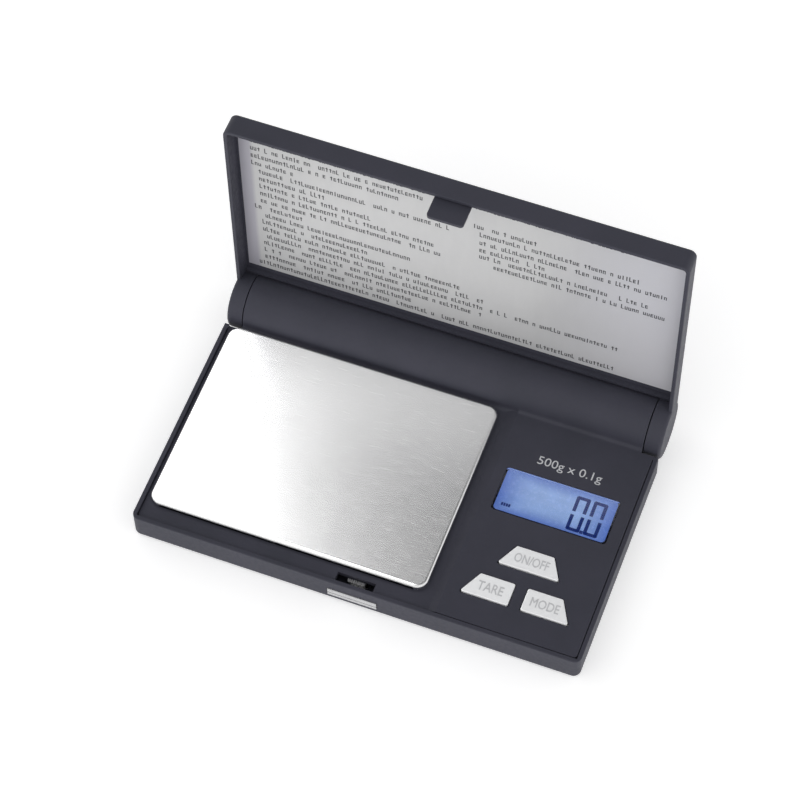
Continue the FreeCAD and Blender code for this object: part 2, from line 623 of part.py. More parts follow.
def lid_shell():
    body = box((-HALF, HALF), (0, HINGE_Y), (LID_RIM_Z, LID_TOP_Z))
    body = round_uprights(body, CORNER_R, lambda x, y: y < 1)
    body = round_level(body, LID_EDGE_R, LID_TOP_Z, lambda p: p.y < HINGE_Y - 1e-3)
    body = round_level(body, RIM_EDGE_R, LID_RIM_Z, lambda p: p.y < HINGE_Y - 1e-3)
    inner = HALF - LID_WALL
    hollow = box((-inner, inner), (LID_WALL, HINGE_Y + 1), (LID_RIM_Z - 1, LID_TOP_Z - LID_WALL))
    hollow = round_uprights(hollow, CORNER_R - LID_WALL, lambda x, y: y < LID_WALL + 1e-3)
    room = bar(BARREL_R + BARREL_GAP, (-BARREL_HALF - EAR_GAP, BARREL_HALF + EAR_GAP))
    body = body.cut(hollow).fuse(hinge_lip()).cut(room)
    body = body.fuse(both_ends(ear()) + [hook()])
    lug_x = (BARREL_HALF - STOP_DEEP, BARREL_HALF + EAR_GAP + FIT)
    body = body.fuse(both_ends(bar(STOP_R, lug_x, *stop_place(math.radians(STOP_ANGLE)))))
    holes = both_ends(bar(PIN_R, (BARREL_HALF - 1, PIN_END)))
    return opened(body.cut(holes).removeSplitter())


def hinge_pins():
    pin = bar(PIN_R, (BARREL_HALF - BOSS, PIN_END))
    return [opened(p) for p in both_ends(pin)]


def lid_label():
    side = HALF - LID_WALL - LABEL_GAP
    low = LID_TOP_Z - LID_WALL - LABEL_T
    front = HOOK_Y + HOOK_T + LABEL_HOOK_GAP
    sheet = box((-side, side), (front, lip_place()[0] - LABEL_LIP_GAP), (low, low + LABEL_T))
    return opened(sheet)


# ---- pan and load cell ------------------------------------------------------------------------------------
def weighing_pan():
    """Drawn steel sheet with turned-down edges and round corners."""
    def tray(inset, z, edge):
        body = box((PAN_X[0] + inset, PAN_X[1] - inset), (PAN_Y[0] + inset, PAN_Y[1] - inset), z)
        body = round_uprights(body, PAN_R - inset)
        return round_level(body, edge, z[1])
    low = PAN_Z - PAN_DROP
    return tray(0, (low, PAN_Z), PAN_EDGE_R).cut(
        tray(PAN_SHEET, (low - 1, PAN_Z - PAN_SHEET), PAN_EDGE_R - PAN_SHEET))


def pan_support():
    x = (PAN_X[0] + SUPPORT_INSET, PAN_X[1] - SUPPORT_INSET)
    y = (PAN_Y[0] + SUPPORT_INSET, PAN_Y[1] - SUPPORT_INSET)
    plate = round_uprights(box(x, y, (SUPPORT_Z, SUPPORT_Z + SUPPORT_T)), PAN_R)
    foot = block(FREE_X, PAN_CY, SUPPORT_FOOT, CELL[1], (CELL_TOP, SUPPORT_Z + FIT))
    aside, ahead = SUPPORT_WINDOW_AT
    windows = [block(cx, cy, *SUPPORT_WINDOW, (SUPPORT_Z - 1, PAN_Z)) for cx in (x[0] + aside, x[1] - aside)
               for cy in (y[0] + ahead, y[1] - ahead)]
    holes = [shape for px, py in cell_screw_places(FREE_X) for shape in (
        post(SCREW_R + HOLE_SLACK, (CELL_TOP - 1, PAN_Z), px, py),
        post(HEAD_R + HEAD_SLACK, (SUPPORT_Z + SUPPORT_T - HEAD_T, PAN_Z), px, py))]
    return plate.fuse(foot).cut(windows + holes).removeSplitter()


def load_cell():
    """Aluminium bar, thinned by two bores joined by a slit."""
    body = block(PAN_CX, PAN_CY, CELL[0], CELL[1], (CELL_Z, CELL_TOP))
    middle = (CELL_Z + CELL_TOP) / 2
    across = (PAN_CY - CELL[1], 2 * CELL[1])
    bores = [Part.makeCylinder(CELL_HOLE_R, across[1], V(x, across[0], middle), V(0, 1, 0))
             for x in (PAN_CX - CELL_HOLE_PITCH / 2, PAN_CX + CELL_HOLE_PITCH / 2)]
    slit_z = (middle - CELL_SLIT / 2, middle + CELL_SLIT / 2)
    slit = block(PAN_CX, PAN_CY, CELL_HOLE_PITCH, 2 * CELL[1], slit_z)
    places = cell_screw_places(FIXED_X) + cell_screw_places(FREE_X)
    holes = [post(SCREW_R + FIT, (0, PAN_Z), x, y) for x, y in places]
    return body.cut(bores + [slit] + holes)


def gauge_covers():
    """Sealant over the strain gauges, above and below the bores."""
    under, over = GAUGE_COVER_T
    heights = ((CELL_TOP, CELL_TOP + over), (CELL_Z - under, CELL_Z))
    return [block(PAN_CX, PAN_CY, *GAUGE_COVER, z) for z in heights]


def screw(x, y, head_z, length, up):
    """A pan-head screw with its head's outer face at head_z."""
    way = 1 if up else -1
    head = Part.makeCylinder(HEAD_R, HEAD_T, V(x, y, head_z), V(0, 0, way))
    shank = Part.makeCylinder(SCREW_R, length, V(x, y, head_z), V(0, 0, way))
    long, wide, deep = CROSS
    cross = [block(x, y, a, b, (head_z - deep, head_z + deep)) for a, b in ((long, wide), (wide, long))]
    return head.fuse(shank).cut(cross).removeSplitter()


def case_screws():
    return [screw(x, y, BASE_Z + HEAD_SUNK, CASE_SCREW, True) for x, y in case_screw_places()]


def board_screws():
    return [screw(x, y, BOARD_LOW - HEAD_T, BOARD_SCREW, True) for x, y in board_screw_places()]


def cell_fixed_screws():
    return [screw(x, y, BASE_Z, FIXED_CELL_SCREW, True) for x, y in cell_screw_places(FIXED_X)]


def cell_free_screws():
    return [screw(x, y, SUPPORT_Z + SUPPORT_T, FREE_CELL_SCREW, False) for x, y in cell_screw_places(FREE_X)]


# ---- display, board and keys ------------------------------------------------------------------------------
def framed(rim, z):
    """A block that reaches past the window by a rim on every side."""
    return block(WINDOW_CX, WINDOW_CY, WINDOW[0] + 2 * rim, WINDOW[1] + 2 * rim, z)


def display_window():
    pane = framed(-SEAM, (DISPLAY_Z, RIM_Z - PANE_LOW))
    return round_uprights(pane, WINDOW_R - SEAM)


def glass_z():
    top = DISPLAY_Z - SEAM
    return top - GLASS_T, top


def display_frame():
    outer = framed(FRAME_RIM, (BOARD_TOP, DISPLAY_Z - FIT))
    lower = framed(GLASS_RIM - GLASS_SEAT, (BOARD_TOP - 1, RIM_Z))
    return outer.cut([lower, framed(GLASS_RIM + FIT, (glass_z()[0], RIM_Z))])


def display_glass():
    return framed(GLASS_RIM, glass_z())


def zebra_strips():
    away = WINDOW[1] / 2 + GLASS_RIM - ZEBRA_INSET - ZEBRA_W / 2
    return [block(WINDOW_CX, WINDOW_CY + side * away, WINDOW[0] + 1, ZEBRA_W, (BOARD_TOP, glass_z()[0]))
            for side in (-1, 1)]


def display_backlight():
    side_y = WINDOW[1] + 2 * (GLASS_RIM - ZEBRA_INSET - ZEBRA_W - SEAM)
    return block(WINDOW_CX, WINDOW_CY, WINDOW[0] + 1, side_y, (glass_z()[0] - BACKLIGHT_T, glass_z()[0]))


def circuit_board():
    board = box(BOARD_X, BOARD_Y, (BOARD_LOW, BOARD_TOP))
    return board.cut([post(SCREW_R + HOLE_SLACK, (0, RIM_Z), x, y) for x, y in board_screw_places()])


def chip_cover():
    """Resin over the chip, under the board."""
    radius, deep = CHIP_DOME
    dome = Part.makeSphere(radius, V(WINDOW_CX, WINDOW_CY, BOARD_LOW + radius - deep))
    return dome.common(block(WINDOW_CX, WINDOW_CY, 2 * radius, 2 * radius, (BASE_Z, BOARD_LOW)))


def key_outline(name, grow):
    """Plan corners of a key, grown on every side."""
    front, back = UPPER_KEY_Y if name == "power" else LOWER_KEYS_Y
    if name == "power":
        corners = [(-UPPER_KEY_HALF[0], front), (UPPER_KEY_HALF[0], front),
                   (UPPER_KEY_HALF[1], back), (-UPPER_KEY_HALF[1], back)]
    else:
        side = -1 if name == "tare" else 1
        corners = [(side * LOWER_KEY_INNER, front), (side * LOWER_KEY_OUTER[0], front),
                   (side * LOWER_KEY_OUTER[1], back), (side * LOWER_KEY_INNER, back)]
    wire = Part.makePolygon([V(CENTRE_X + x, y, 0) for x, y in corners + corners[:1]])
    if grow:
        wire = wire.makeOffset2D(grow, 2)
    return wire


def key_block(name, grow, z, radius):
    face = Part.Face(key_outline(name, grow))
    solid = face.extrude(V(0, 0, z[1] - z[0]))
    solid.translate(V(0, 0, z[0]))
    return round_uprights(solid, radius)


KEYS = ("power", "tare", "mode")


def key_centre(name):
    centre = Part.Face(key_outline(name, 0)).CenterOfMass
    return centre.x, centre.y


def plunger_top():
    return BOARD_TOP + SWITCH[1] + PLUNGER_PROUD


def plunger_low():
    return BOARD_TOP + SWITCH[1] - PLUNGER_SUNK


def key_cap(name):
    """Hard key with a lip that holds it under the panel, and a stem over its switch."""
    low = LEDGE_Z - FIT - KEY_LIP_T
    cap = key_block(name, 0, (low, RIM_Z + KEY_PROUD), KEY_R)
    cap = round_level(cap, KEY_EDGE_R, RIM_Z + KEY_PROUD)
    lip = key_block(name, KEY_LIP, (low, LEDGE_Z - FIT), KEY_R)
    stem = post(KEY_STEM_R, (plunger_top(), low + FIT), *key_centre(name))
    return cap.fuse([lip, stem]).removeSplitter()


def switch_body(name):
    x, y = key_centre(name)
    body = block(x, y, SWITCH[0], SWITCH[0], (BOARD_TOP, BOARD_TOP + SWITCH[1]))
    return body.cut(post(PLUNGER_R + FIT, (plunger_low() - KEY_TRAVEL - FIT, RIM_Z), x, y))


def plunger(name):
    return post(PLUNGER_R, (plunger_low(), plunger_top()), *key_centre(name))


# ---- latch ------------------------------------------------------------------------------------------------
def release_button():
    """Bar in the front wall, with wings behind the wall and a tongue that pushes the latch spring."""
    z = (BUTTON_LOW, BUTTON_TOP)
    face = box((-BUTTON_HALF, BUTTON_HALF), (-BUTTON_PROUD, BUTTON_T - BUTTON_PROUD), z)
    outer = [e for e in face.Edges if abs(e.CenterOfMass.y + BUTTON_PROUD) < 1e-6]
    face = face.makeFillet(BUTTON_EDGE_R, outer)
    tall, deep = BUTTON_GROOVE
    line = sum(z) / 2
    groove = box((-HALF, HALF), (-1 - BUTTON_PROUD, deep - BUTTON_PROUD), (line - tall / 2, line + tall / 2))
    inner, behind = HOOK_HALF + BUTTON_ROOM, RIM + SEAM
    wing = box((inner, BUTTON_HALF), (0, behind + BUTTON_WING_T), z)
    catch = box((inner, BUTTON_HALF + BUTTON_WING), (behind, behind + BUTTON_WING_T), z)
    half, thick = PUSHER
    pusher = box((-half, half), (0, LEAF_Y - FIT), (z[0], z[0] + thick))
    return face.cut(groove).fuse(both_ends(wing) + both_ends(catch) + [pusher]).removeSplitter()


def latch_spring():
    """Steel leaf: a foot on the floor, an upright that the button pushes, and a nose that holds the hook."""
    x = (-LEAF_HALF, LEAF_HALF)
    front = HOOK_Y + HOOK_T + NOSE_GAP
    foot = box(x, (LEAF_Y, LEAF_Y + LEAF_FOOT), (FLOOR_Z, FLOOR_Z + LEAF_T))
    upright = box(x, (LEAF_Y, LEAF_Y + LEAF_T), (FLOOR_Z, NOSE_Z + LEAF_T))
    nose = box(x, (front, LEAF_Y + LEAF_T), (NOSE_Z, NOSE_Z + LEAF_T))
    nose = round_uprights(nose, NOSE_R, lambda px, py: py < front + FIT)
    hole = post(STAKE[0] + FIT, (0, RIM_Z), 0, STAKE_Y)
    return foot.fuse([upright, nose]).cut(hole).removeSplitter()


# ---- batteries and wires ----------------------------------------------------------------------------------
def battery(x):
    """A cell with its nub towards +X, starting at x."""
    radius, length = CELL_AAA
    shoulder = x + length - NUB[1]
    can = bar(radius, (x, shoulder))
    can = can.makeFillet(CAN_EDGE_R, [e for e in can.Edges if e.isClosed()])
    return can.fuse(bar(NUB[0], (shoulder - FIT, x + length)))


def tab_z():
    return FLOOR_Z + TAB[0], FLOOR_Z + TAB[0] + TAB[1]


def tab_slot(side):
    x = side * (BAY_HALF - PLATE_T / 2)
    return block(x, BARREL_FRONT, 2 * PLATE_T, BARREL_R, (tab_z()[0] - TAB_SLACK, tab_z()[1] + TAB_SLACK))


def contact_plate(side):
    """Plated contact with a tab through the bay's front wall."""
    x = sorted((side * BAY_HALF, side * (BAY_HALF - PLATE_T)))
    half = PLATE_SIDE / 2
    plate = box(x, (HINGE_Y - half, HINGE_Y + half), (tab_z()[0], AXIS_Z + half))
    return plate.fuse(box(x, (BARREL_FRONT - 0.2, HINGE_Y), tab_z())).removeSplitter()


def battery_spring():
    """Coil between the negative contact and the first cell."""
    height = SPRING_ROOM - 2 * SPRING_WIRE_R
    helix = Part.makeHelix(height / SPRING_TURNS, height, SPRING_R)
    ring = Part.Wire(Part.makeCircle(SPRING_WIRE_R, V(SPRING_R, 0, 0), V(0, 1, 0)))
    coil = Part.Wire(helix.Edges).makePipeShell([ring], True, True)
    coil.rotate(V(0, 0, 0), V(0, 1, 0), 90)
    coil.translate(V(-BAY_HALF + PLATE_T + SPRING_WIRE_R, HINGE_Y, AXIS_Z))
    return coil


def battery_leads():
    """Wires from the contact tabs to the board's rear edge, ahead of the barrel."""
    x, y, z = BAY_HALF - PLATE_T / 2, BARREL_FRONT - 0.2, sum(tab_z()) / 2
    board_y, board_z = BOARD_Y[1], BOARD_LOW + BOARD_T / 2
    run = BARREL_FRONT - 1.9
    landing = BOARD_X[0] + 9.4
    negative = [V(-x, y, z), V(-x, run, z), V(-x + 14, run - 0.4, z - 0.6), V(-x + 34, run, z - 0.2),
                V(-x + 54, run - 0.3, z - 0.7), V(BOARD_X[0] + 6, run - 0.6, z - 0.4),
                V(landing, board_y + 3, board_z), V(landing, board_y, board_z)]
    positive = [V(x, y, z), V(x, run, z), V(x - 2.8, board_y + 3, board_z), V(x - 2.8, board_y, board_z)]
    return [tube(negative, LEAD_R), tube(positive, LEAD_R)]


def sensor_cable():
    x, middle, board_z = PAN_CX + CELL[0] / 2, (CELL_Z + CELL_TOP) / 2, BOARD_LOW + BOARD_T / 2
    end = BOARD_X[0]
    route = [V(x, PAN_CY, middle), V(x + 6, PAN_CY, middle), V(end - 8, PAN_CY - 5, board_z),
             V(end, PAN_CY - 5, board_z)]
    return tube(route, CABLE_R)


def rubber_feet():
    feet = []
    for x, y in foot_places():
        foot = post(FOOT_R, (0, FOOT_PROUD + FOOT_SUNK), x, y)
        feet.append(round_level(foot, 0.3, 0))
    return feet


# ---- the files --------------------------------------------------------------------------------------------
def save(node, *solids):
    """Writes one node, moved so that the origin is under the middle of the whole scale."""
    placed = []
    for solid in solids:
        copy = solid.copy()
        copy.translate(V(0, -MIDDLE_Y, 0))
        placed.append(copy)
    shape = placed[0] if len(placed) == 1 else Part.makeCompound(placed)
    shape.exportStep(os.path.join("parts", node + ".step"))


def main():
    os.makedirs("parts", exist_ok=True)
    save("bottom_case", bottom_case())
    save("top_deck", top_deck())
    save("battery_door", battery_door())
    save("lid_shell", lid_shell())
    save("lid_label", lid_label())
    save("hinge_pins", *hinge_pins())
    save("weighing_pan", weighing_pan())
    save("pan_support", pan_support())
    save("load_cell", load_cell())
    save("gauge_covers", *gauge_covers())
    save("cell_fixed_screws", *cell_fixed_screws())
    save("cell_free_screws", *cell_free_screws())
    save("case_screws", *case_screws())
    save("board_screws", *board_screws())
    save("display_window", display_window())
    save("display_frame", display_frame())
    save("display_glass", display_glass())
    save("display_backlight", display_backlight())
    save("zebra_strips", *zebra_strips())
    save("circuit_board", circuit_board())
    save("chip_cover", chip_cover())
    save("key_switches", *[switch_body(name) for name in KEYS])
    for name in KEYS:
        save(name + "_key", key_cap(name))
        save(name + "_plunger", plunger(name))
    save("release_button", release_button())
    save("latch_spring", latch_spring())
    save("battery_1", battery(-BAY_HALF + PLATE_T + SPRING_ROOM))
    save("battery_2", battery(-BAY_HALF + PLATE_T + SPRING_ROOM + CELL_AAA[1]))
    save("battery_spring", battery_spring())
    save("contact_plates", contact_plate(-1), contact_plate(1))
    save("battery_leads", *battery_leads())
    save("sensor_cable", sensor_cable())
    save("rubber_feet", *rubber_feet())


main()
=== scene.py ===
import json
import math

import bpy
from mathutils import Matrix, Vector


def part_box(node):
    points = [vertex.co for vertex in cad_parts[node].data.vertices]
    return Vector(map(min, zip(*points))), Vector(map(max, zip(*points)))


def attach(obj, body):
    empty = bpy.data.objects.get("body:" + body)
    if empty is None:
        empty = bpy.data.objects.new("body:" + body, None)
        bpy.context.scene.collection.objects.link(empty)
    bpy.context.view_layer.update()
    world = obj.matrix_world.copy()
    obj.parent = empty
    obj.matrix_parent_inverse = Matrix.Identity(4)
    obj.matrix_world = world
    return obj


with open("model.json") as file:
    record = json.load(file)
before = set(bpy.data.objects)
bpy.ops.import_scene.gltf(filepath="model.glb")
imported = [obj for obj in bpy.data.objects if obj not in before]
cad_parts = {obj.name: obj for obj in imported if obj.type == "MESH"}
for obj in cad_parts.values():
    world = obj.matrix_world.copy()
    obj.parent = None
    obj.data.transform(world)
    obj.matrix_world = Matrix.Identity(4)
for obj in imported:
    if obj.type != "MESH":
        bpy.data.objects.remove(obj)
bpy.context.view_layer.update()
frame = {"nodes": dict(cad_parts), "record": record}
nodes = frame["nodes"]
MM = 0.001


# ---- Studio -------------------------------------------------------------------------------------------------
# The scale stands open on a white light table, seen from its front right and well above. White walls light it
# from all round. One broad panel hangs behind it on the left, and lights only the steel pan and the keys.
CAMERA_AT = (0.15426, -0.39022, 0.71864)
CAMERA_TURN = (21.79, 58.18, 1.345)     # azimuth, elevation and roll, in degrees


def looking(azimuth, elevation, roll):
    """Rotation of a camera that looks at the scale from that side; its right side sinks by roll."""
    a, e, r = (math.radians(v) for v in (azimuth, elevation, roll))
    back = Vector((math.sin(a) * math.cos(e), -math.cos(a) * math.cos(e), math.sin(e)))
    level = (-back).cross(Vector((0, 0, 1))).normalized()
    right = level * math.cos(r) + (-back).cross(level) * math.sin(r)
    return Matrix((right, back.cross(right), back)).transposed()


lens = bpy.data.cameras.new("camera")
lens.sensor_width = 36.0
lens.lens = 131.76
lens.clip_start, lens.clip_end = 0.05, 20.0
camera = bpy.data.objects.new("camera", lens)
bpy.context.scene.collection.objects.link(camera)
camera.matrix_world = Matrix.Translation(CAMERA_AT) @ looking(*CAMERA_TURN).to_4x4()
bpy.context.scene.camera = camera
bpy.context.scene.view_settings.view_transform = "Standard"


def hang_panel(name, middle, sides, turn, power):
    """A level light panel that shines down, turned about the vertical."""
    light = bpy.data.lights.new(name, "AREA")
    light.shape = "RECTANGLE"
    light.size, light.size_y = sides
    light.energy = power
    panel = bpy.data.objects.new(name, light)
    bpy.context.scene.collection.objects.link(panel)
    panel.matrix_world = Matrix.Translation(middle) @ Matrix.Rotation(math.radians(turn), 4, "Z")
    return panel


pan_light = hang_panel("pan_light", middle=(-0.56, 0.13, 0.6), sides=(0.7, 1.0), turn=28, power=11.0)
shining = bpy.data.collections.new("shining")     # the panel lights only these, and the walls light the rest
for name in ("weighing_pan", "power_key", "tare_key", "mode_key"):
    shining.objects.link(nodes[name])
pan_light.light_linking.receiver_collection = shining
pan_light.visible_diffuse = False


class Graph:
    """A node tree that is built from its inputs towards its output."""

    def __init__(self, tree):
        self.tree = tree

    def add(self, kind, inputs, out=0, **settings):
        """Adds one node, sets or links its inputs, and returns one of its outputs."""
        node = self.tree.nodes.new(kind)
        for name, value in settings.items():
            setattr(node, name, value)
        for name, value in inputs.items():
            self.feed(node.inputs[name], value)
        return node.outputs[out]

    def feed(self, socket, value):
        if isinstance(value, bpy.types.NodeSocket):
            self.tree.links.new(value, socket)
        elif isinstance(value, bpy.types.Material):
            socket.default_value = value
        elif socket.type == "RGBA" and len(value) == 3:
            socket.default_value = (*value, 1.0)
        else:
            socket.default_value = value


def white_room():
    """White all round, with a grey part above the scale's back right, which the pan's right half mirrors."""
    world = bpy.data.worlds.new("white_room")
    world.use_nodes = True
    graph = Graph(world.node_tree)
    way = graph.add("ShaderNodeTexCoord", {}, out="Generated")
    grey_way = Vector((0.05, 0.44, 0.9)).normalized()
    grey_level, outer, inner = 0.10, math.radians(42), math.radians(18)
    near = graph.add("ShaderNodeVectorMath", {0: way, 1: grey_way}, out="Value", operation="DOT_PRODUCT")
    limits = {"From Min": math.cos(outer), "From Max": math.cos(inner), "To Min": 1.0, "To Max": grey_level}
    strength = graph.add("ShaderNodeMapRange", {"Value": near, **limits}, interpolation_type="SMOOTHSTEP")
    background = world.node_tree.nodes["Background"]
    background.inputs["Color"].default_value = (1.0, 1.0, 1.0, 1.0)
    graph.feed(background.inputs["Strength"], strength)
    bpy.context.scene.world = world


white_room()


class Finish(Graph):
    """A finish under construction: a principled material whose patterns are laid out in millimetres."""

    def __init__(self, name, colour, rough, metal=0.0, **constants):
        self.material = bpy.data.materials.new(name)
        self.material.use_nodes = True
        super().__init__(self.material.node_tree)
        self.bsdf = self.tree.nodes["Principled BSDF"]
        self.set(Base_Color=colour, Roughness=rough, Metallic=metal, **constants)

    def set(self, **values):
        for name, value in values.items():
            self.feed(self.bsdf.inputs[name.replace("_", " ")], value)

    def place(self, stretch=(1, 1, 1), shift=(0, 0, 0)):
        """Where a point is on the piece, in millimetres, stretched and shifted."""
        here = self.add("ShaderNodeTexCoord", {}, out="Object")
        scale = [s / MM for s in stretch]
        return self.add("ShaderNodeMapping", {"Vector": here, "Scale": scale, "Location": shift})

    def noise(self, per_mm, stretch=(1, 1, 1), detail=2.0, coarse=0.5):
        inputs = {"Vector": self.place(stretch), "Scale": per_mm, "Detail": detail, "Roughness": coarse}
        return self.add("ShaderNodeTexNoise", inputs)

    def span(self, value, low, high, start=0.3, end=0.7):
        """Maps a pattern's start..end to low..high."""
        limits = {"From Min": start, "From Max": end, "To Min": low, "To Max": high}
        return self.add("ShaderNodeMapRange", {"Value": value, **limits})

    def mix(self, share, a, b):
        return self.add("ShaderNodeMix", {"Factor": share, "A": a, "B": b}, out="Result", data_type="RGBA")

    def mottle(self, a, b, per_mm, detail=3.0):
        """Colour that drifts between two tones."""
        self.set(Base_Color=self.mix(self.span(self.noise(per_mm, detail=detail), 0, 1), a, b))

    def bump(self, height, deep_mm):
        inputs = {"Height": height, "Strength": 1.0, "Distance": deep_mm * MM}
        self.set(Normal=self.add("ShaderNodeBump", inputs))


def new_piece(name, mesh):
    piece = bpy.data.objects.new(name, mesh)
    bpy.context.scene.collection.objects.link(piece)
    return piece


def table():
    """A white table that is lit a little from below, which keeps its shadows faint."""
    finish = Finish("table_white", (0.94, 0.94, 0.94), 0.7,
                    Emission_Color=(1.0, 1.0, 1.0), Emission_Strength=0.38)
    finish.mottle((0.93, 0.93, 0.935), (0.95, 0.95, 0.95), 0.02)
    mesh = bpy.data.meshes.new("table")
    reach = 4.0
    mesh.from_pydata([(-reach, -reach, 0), (reach, -reach, 0), (reach, reach, 0), (-reach, reach, 0)], [],
                     [(0, 1, 2, 3)])
    mesh.materials.append(finish.material)
    new_piece("table", mesh)


table()


# ---- Case shells and lid shell ------------------------------------------------------------------------------
# Four injection mouldings in charcoal ABS: the bottom case, the deck with the top of the battery barrel, the
# battery door, and the lid with its two ears and latch hook. Their moulds were spark-eroded, so they are
# finely matt.
def finish_nodes(material, *names):
    """Gives pieces of the carried-over model their finish."""
    for name in names:
        slots = nodes[name].data.materials
        slots.clear()
        slots.append(material)


def charcoal_abs():
    finish = Finish("charcoal_abs", (0.050, 0.0505, 0.068), 0.5, Specular_IOR_Level=0.22)
    finish.mottle((0.0465, 0.0475, 0.0635), (0.0535, 0.0535, 0.0725), 0.07)
    finish.set(Roughness=finish.span(finish.noise(0.9, detail=4.0), 0.46, 0.6))
    finish.bump(finish.noise(4.5, detail=3.0, coarse=0.65), 0.02)
    return finish.material


case_finish = charcoal_abs()
finish_nodes(case_finish, "bottom_case", "top_deck", "battery_door", "lid_shell")


# ---- Lid label ----------------------------------------------------------------------------------------------
# A sheet of silver foil, stuck inside the lid. Its left end is painted darker as painted shade, and it is
# painted paler towards its right end as a painted highlight. It is printed all over with fine rows of text,
# shown here as rows of plain marks that spell nothing.
LEFT_SHADE_FADE = (3.0, 4.2)        # where the painted shade at the left edge ends, from the label's left edge
PAINTED_LIGHT_FADE = (24.0, 60.0)      # where the painted highlight grows, along the scale


def silver_foil():
    """Silver, painted darker along its left edge as painted shade, and painted paler to the right as a painted
    highlight.
    """
    finish = Finish("silver_foil", (0.56, 0.56, 0.57), 0.38, 0.12)
    x = finish.add("ShaderNodeSeparateXYZ", {"Vector": finish.place()}, out="X")
    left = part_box("lid_label")[0][0] / MM
    # painted shade: the label is painted lilac grey along its left edge, by the lid's wall
    bare_can_and_painted_shade = finish.span(x, 1.0, 0.0, left + LEFT_SHADE_FADE[0], left + LEFT_SHADE_FADE[1])
    # painted highlight: the label is painted paler towards its right end
    painted_light_share = finish.span(x, 0.0, 1.0, *PAINTED_LIGHT_FADE)
    pale = finish.mix(finish.noise(0.4, (1, 0.2, 0.2)), (0.54, 0.54, 0.545), (0.58, 0.58, 0.58))
    painted_lit_ground = finish.mix(painted_light_share, pale, (0.64, 0.635, 0.67))
    finish.set(Base_Color=finish.mix(bare_can_and_painted_shade, painted_lit_ground, (0.43, 0.42, 0.47)))
    finish.set(Roughness=finish.span(finish.noise(0.8), 0.34, 0.44))
    finish.bump(finish.noise(0.12, detail=1.0), 0.05)
    return finish.material


finish_nodes(silver_foil(), "lid_label")


class Pattern(Graph):
    """A Geometry Nodes tree that lays repeated pieces out on a mesh, with named sizes."""

    def __init__(self, name, **sizes):
        super().__init__(bpy.data.node_groups.new(name, "GeometryNodeTree"))
        self.name = name
        kinds = {float: "NodeSocketFloat", int: "NodeSocketInt"}
        interface = self.tree.interface
        interface.new_socket("pieces", in_out="OUTPUT", socket_type="NodeSocketGeometry")
        interface.new_socket("layout", in_out="INPUT", socket_type="NodeSocketGeometry")
        self.sizes = {}
        for size, value in sizes.items():
            kind = kinds.get(type(value), "NodeSocketMaterial")
            self.sizes[interface.new_socket(size, in_out="INPUT", socket_type=kind).identifier] = value
        self.given = self.tree.nodes.new("NodeGroupInput").outputs

    def sum(self, a, b, operation="ADD"):
        return self.add("ShaderNodeMath", {0: a, 1: b}, operation=operation)

    def size(self, x, y, z):
        return self.add("ShaderNodeCombineXYZ", {"X": x, "Y": y, "Z": z})

    def close(self, pieces):
        """Ends the tree: real meshes, in their finish."""
        real = self.add("GeometryNodeRealizeInstances", {"Geometry": pieces})
        done = self.add("GeometryNodeSetMaterial", {"Geometry": real, "Material": self.given["finish"]})
        self.tree.links.new(done, self.tree.nodes.new("NodeGroupOutput").inputs[0])

    def lay(self, layout, place):
        """Runs the tree on a layout mesh and returns a plain piece at its place."""
        carrier = new_piece(self.name, layout)
        modifier = carrier.modifiers.new(self.name, "NODES")
        modifier.node_group = self.tree
        for identifier, value in self.sizes.items():
            modifier[identifier] = value
        view = bpy.context.evaluated_depsgraph_get()
        mesh = bpy.data.meshes.new_from_object(carrier.evaluated_get(view))
        carrier.modifiers.remove(modifier)
        carrier.data = mesh
        mesh.transform(place)
        return carrier


def layout_mesh(name, runs):
    """A mesh of separate straight edges, from pairs of (x, y) in millimetres."""
    points = [(x * MM, y * MM, 0.0) for run in runs for x, y in run]
    mesh = bpy.data.meshes.new(name)
    mesh.from_pydata(points, [(n, n + 1) for n in range(0, len(points), 2)], [])
    return mesh


def dark_ink(name, colour, rough):
    finish = Finish(name, colour, rough)
    finish.mottle(colour, [c * 1.4 for c in colour], 1.5)
    return finish.material


